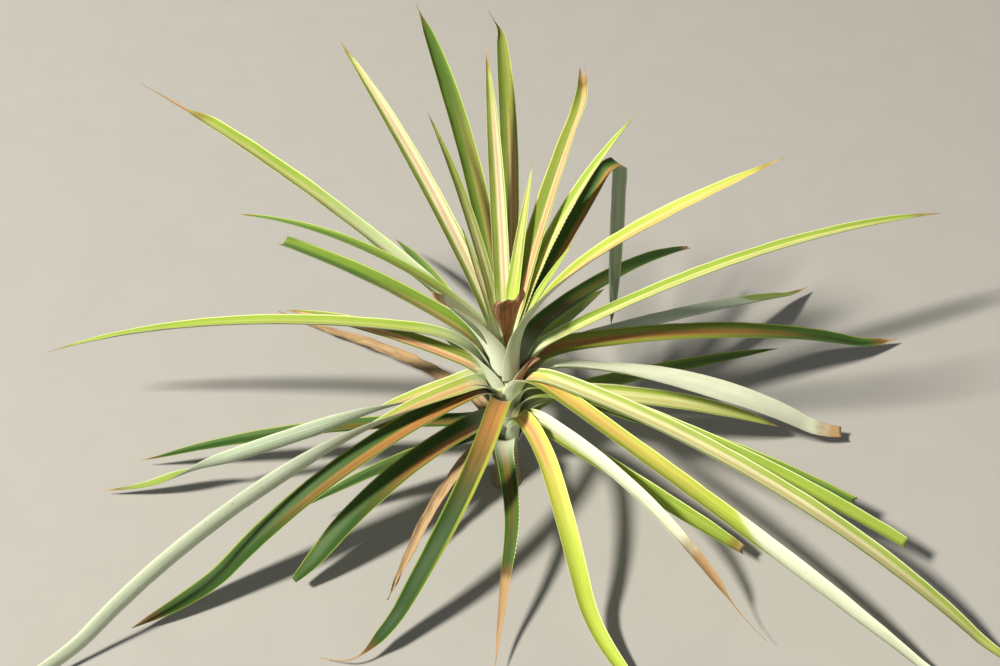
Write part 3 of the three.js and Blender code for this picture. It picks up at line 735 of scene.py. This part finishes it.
def leafSlope(one, along, height):
    lean = leafShape["stemLeanAngle"] * math.sin(math.radians(one["turn"]))
    sheath = one.get("startSlope", leafShape["sheathAngle"] - lean)
    slope = mix(sheath, one["lead"], smooth(along / one["crook"])) - one["fall"] * along / one["length"]
    slope -= bentBy(one["bends"], along)
    if "after" in one:
        return slope
    lowest = -math.degrees(math.atan2(height - one["rest"], leafShape["groundEase"]))
    return max(slope, min(lowest, 0))


def leafWaver(one, along):
    place = Vector((along * leafDetail["waverPitch"], one["seed"], leafDetail["waverLayer"]))
    free = smooth(along / leafDetail["waverRun"])
    return one["waver"] * leafDetail["waverTurn"] * noise.noise(place) * free


def leafFrame(one, along, height):
    turned = one["turn"] + one["sweep"] * along / one["length"] + bentBy(one["swerves"], along)
    turn = math.radians(turned)
    slope = math.radians(leafSlope(one, along, height))
    ahead = Vector((math.cos(slope) * math.cos(turn), math.cos(slope) * math.sin(turn), math.sin(slope)))
    across = Vector((-math.sin(turn), math.cos(turn), 0))
    above = ahead.cross(across)
    rolled = one["roll"] + bentBy(one["twists"], along) + leafWaver(one, along)
    tilt = Matrix.Rotation(math.radians(rolled), 3, ahead)
    return ahead, tilt @ across, tilt @ above


def leafStart(one):
    if "after" in one:
        last = walkLeaf(leafNamed[one["after"]])[-1]
        return last["point"] + last["ahead"] * leafShape["seatGap"], 0.0
    footRadius = stemRadius(one["foot"]) * leafShape["facetAllowance"] + leafShape["seatGap"]
    footRadius += leafShape["sheathThickness"] / 2
    turn = math.radians(one["turn"])
    out = Vector((math.cos(turn), math.sin(turn), 0))
    return leanPoint(0, 0, one["foot"]) + out * footRadius, footRadius


def walkLeaf(one):
    point, footRadius = leafStart(one)
    rows = max(leafShape["fewestRows"], round(one["length"] / leafShape["spacing"]))
    stations, along = [], 0.0
    for row in range(rows + 1):
        target = one["length"] * (row / rows) ** leafShape["spread"]
        steps = max(1, math.ceil((target - along) / leafShape["walkStep"]))
        step = (target - along) / steps
        for _ in range(steps if step > 0 else 0):
            point = point + leafFrame(one, along + step / 2, point.z)[0] * step
            along += step
        ahead, across, above = leafFrame(one, along, point.z)
        stations.append({
            "point": point.copy(), "ahead": ahead, "across": across, "above": above,
            "along": along, "share": along / one["length"], "footRadius": footRadius, "leaf": one,
        })
    return stations


def halfWidth(one, share):
    narrowed = (1 - share ** one["taper"]) * (1 - one["blunt"]) + one["blunt"]
    half = one["width"] / 2 * narrowed
    if one["wisp"]:
        half *= mix(1, leafShape["wispWidth"], smooth((share - one["wisp"]) / leafShape["wispRun"] + 0.5))
    return max(half, leafShape["tipWidth"] / 2)


def leafThickness(share, free, place, half):
    # Thick at the sheath and the midrib, thin towards the tip and at the margins
    middle = mix(leafShape["sheathThickness"], leafShape["bladeThickness"], free)
    thinned = smooth((share - leafShape["thinFrom"]) / (1 - leafShape["thinFrom"]))
    middle = mix(middle, leafShape["tipThickness"], thinned)
    return min(mix(middle, leafShape["marginThickness"], place * place), half * leafDetail["thickest"])


def marginRipple(one, along, place, free):
    right, left = leafDetail["rippleSides"]
    own = one["seed"] + (right if place > 0 else left)
    ripple = noise.noise(Vector((along * leafDetail["ripplePitch"], own, leafDetail["rippleLayer"])))
    return ripple * (leafDetail["rippleHeight"] * one["waver"] * place * place * free)


def tornBack(one, share, place):
    wave = noise.noise(Vector((place * leafDetail["tearPitch"], one["seed"], leafDetail["tearLayer"])))
    ragged = 0.5 + 0.5 * wave
    least, more = leafDetail["tearShares"]
    back = one["torn"] * (1 - abs(place) * leafDetail["tearCentre"]) * (least + more * ragged)
    return back * smooth((share - leafDetail["tearFrom"]) / leafDetail["tearRun"])


def leafFold(one, along, place, free):
    fold = Vector((place * leafDetail["foldAcross"], along * leafDetail["foldAlong"], one["seed"]))
    apart = Vector((leafDetail["foldApart"], 0, 0))
    acrossBy = one["crumple"] * leafDetail["foldSideways"] * noise.noise(fold + apart) * free
    return acrossBy, one["crumple"] * noise.noise(fold) * free


def leafPoint(station, column):
    one = station["leaf"]
    angle = 2 * math.pi * column / leafShape["columns"]
    place, side = math.cos(angle), math.sin(angle)
    share, along = station["share"], station["along"]
    free = 1.0 if "after" in one else smooth(along / one["sheath"])
    wrap = math.radians(one["wrap"])
    half = mix(wrap * station["footRadius"], halfWidth(one, share), free)
    cup = mix(wrap, math.radians(one["cup"]), free)
    thickness = leafThickness(share, free, place, half)
    lift = math.copysign(abs(side) ** leafDetail["roundness"], side) * thickness / 2
    bendRadius = half / cup
    bend = place * cup
    acrossBy = (bendRadius - lift) * math.sin(bend)
    ripple = marginRipple(one, along, place, free)
    aboveBy = bendRadius * (1 - math.cos(bend)) + lift * math.cos(bend) + ripple
    back = tornBack(one, share, place) if one["torn"] else 0.0
    if one["crumple"]:
        foldAcross, foldAbove = leafFold(one, along, place, free)
        acrossBy += foldAcross
        aboveBy += foldAbove
    spot = station["point"] + station["across"] * acrossBy + station["above"] * aboveBy
    return spot - station["ahead"] * back, place, side


# Small hooked teeth along a margin: spacing, length, width and thickness in millimetres. mark puts
# their points past the margin, where the material gives them the tooth colour
tooth = {"every": 7.0, "long": 2.6, "wide": 2.4, "thick": 0.9, "ahead": 1.2, "sunk": 0.6,
         "sides": 4, "mark": 1.3, "tone": 0.5}


def addTooth(bm, before, root, out):
    # A cone of height 1 round the origin, laid along the margin with its tip outwards
    sides = tooth["sides"]
    spike = bmesh.ops.create_cone(bm, cap_ends=True, segments=sides, radius1=0.5, radius2=0.0, depth=1)
    for vert in spike["verts"]:
        tip = vert.co.z + 0.5
        along = vert.co.x * tooth["wide"] + tip * tooth["ahead"]
        thick = vert.co.y * tooth["thick"]
        outward = out * (tip * tooth["long"] - tooth["sunk"])
        vert.co = root + before["ahead"] * along + before["above"] * thick + outward
    return spike["verts"]


def addTeeth(bm, one, stations):
    edgeColumn = 0 if one["teeth"] > 0 else leafShape["columns"] // 2
    made = []
    due = one["length"] * one["toothFrom"]
    for before, after in zip(stations, stations[1:]):
        while before["along"] <= due < after["along"]:
            share = (due - before["along"]) / (after["along"] - before["along"])
            root = leafPoint(before, edgeColumn)[0].lerp(leafPoint(after, edgeColumn)[0], share)
            made += addTooth(bm, before, root, before["across"] * one["teeth"])
            due += tooth["every"]
            if due > one["length"] * one["toothTo"]:
                return made
    return made


def makeLeaf(one, stations, nodes, totalLength):
    rows, columns = len(stations) - 1, leafShape["columns"]
    slot = one["tint"] + "_leaf"
    bm = makeTube(columns, rows)
    layers = {key: bm.verts.layers.float.new(key) for key in placeMarks + lookMarks}
    reach = one["reach"] or (leafLooks[slot]["reach"] if slot in leafLooks else 0)
    for vert in bm.verts:
        station = stations[round((vert.co.z + 0.5) * rows)]
        column = round(math.atan2(vert.co.y, vert.co.x) / (2 * math.pi) * columns) % columns
        spot, place, side = leafPoint(station, column)
        along = station["along"] + station.get("offset", 0.0)
        marks = {
            "across": place, "along": along / totalLength, "metres": along / 1000,
            "under": 1.0 if side < leafDetail["underFrom"] else 0.0,
            "seed": one["seed"] * leafDetail["seedSpread"], "reach": reach,
            **{key: one[key] for key in lookMarks},
        }
        for key, value in marks.items():
            vert[layers[key]] = value
        vert.co = spot / 1000
    if one["teeth"]:
        for vert in addTeeth(bm, one, stations):
            vert[layers["across"]] = tooth["mark"]
            vert[layers["tone"]] = tooth["tone"]
            vert.co = vert.co / 1000
    name = one["name"] + "_blade"
    addPiece(name, meshFrom(bm, name), nodes, materials[slot])


def makeLeaves():
    rng = random.Random(leafDetail["draw"])
    for one in leaves:
        one["seed"] = rng.uniform(0, leafDetail["seedSpan"])
    for one in leaves:
        if "after" in one:
            continue
        stations, nodes, total = walkLeaf(one), [one["name"]], one["length"]
        for later in leaves:
            if later.get("after") == one["name"]:
                hanging = walkLeaf(later)[1:]
                for station in hanging:
                    station["offset"] = total
                stations += hanging
                nodes.append(later["name"])
                total += later["length"]
        makeLeaf(one, stations, nodes, total)
    print("leaves made:", len(leaves))


# The studio floor: half its side in metres, how far it lies under the foot, and a faint grain
floorLook = {
    "half": 9.0, "under": 0.0005, "dark": "a29f98", "light": "a8a59e",
    "grain": (9.0, 4.0, 0.55), "roughness": 0.85, "bump": (0.05, 0.002),
}


def makeFloorMaterial():
    shader = Shader("floor")
    grain = shader.cloud(shader.objectPlace(), *floorLook["grain"])
    color = shader.blend(grain, tint(floorLook["dark"]), tint(floorLook["light"]))
    return shader.finish(color, floorLook["roughness"], shader.bump(grain, *floorLook["bump"]))


def makeFloor():
    bm = bmesh.new()
    bmesh.ops.create_grid(bm, x_segments=1, y_segments=1, size=floorLook["half"])
    bmesh.ops.translate(bm, vec=(0, 0, -floorLook["under"]), verts=bm.verts)
    floor = bpy.data.objects.new("floor", meshFrom(bm, "floor"))
    floor.data.materials.append(makeFloorMaterial())
    bpy.context.scene.collection.objects.link(floor)
    print("floor made")


makeCamera()
makeStudio()
makeStem()
makeLeaves()
makeFloor()
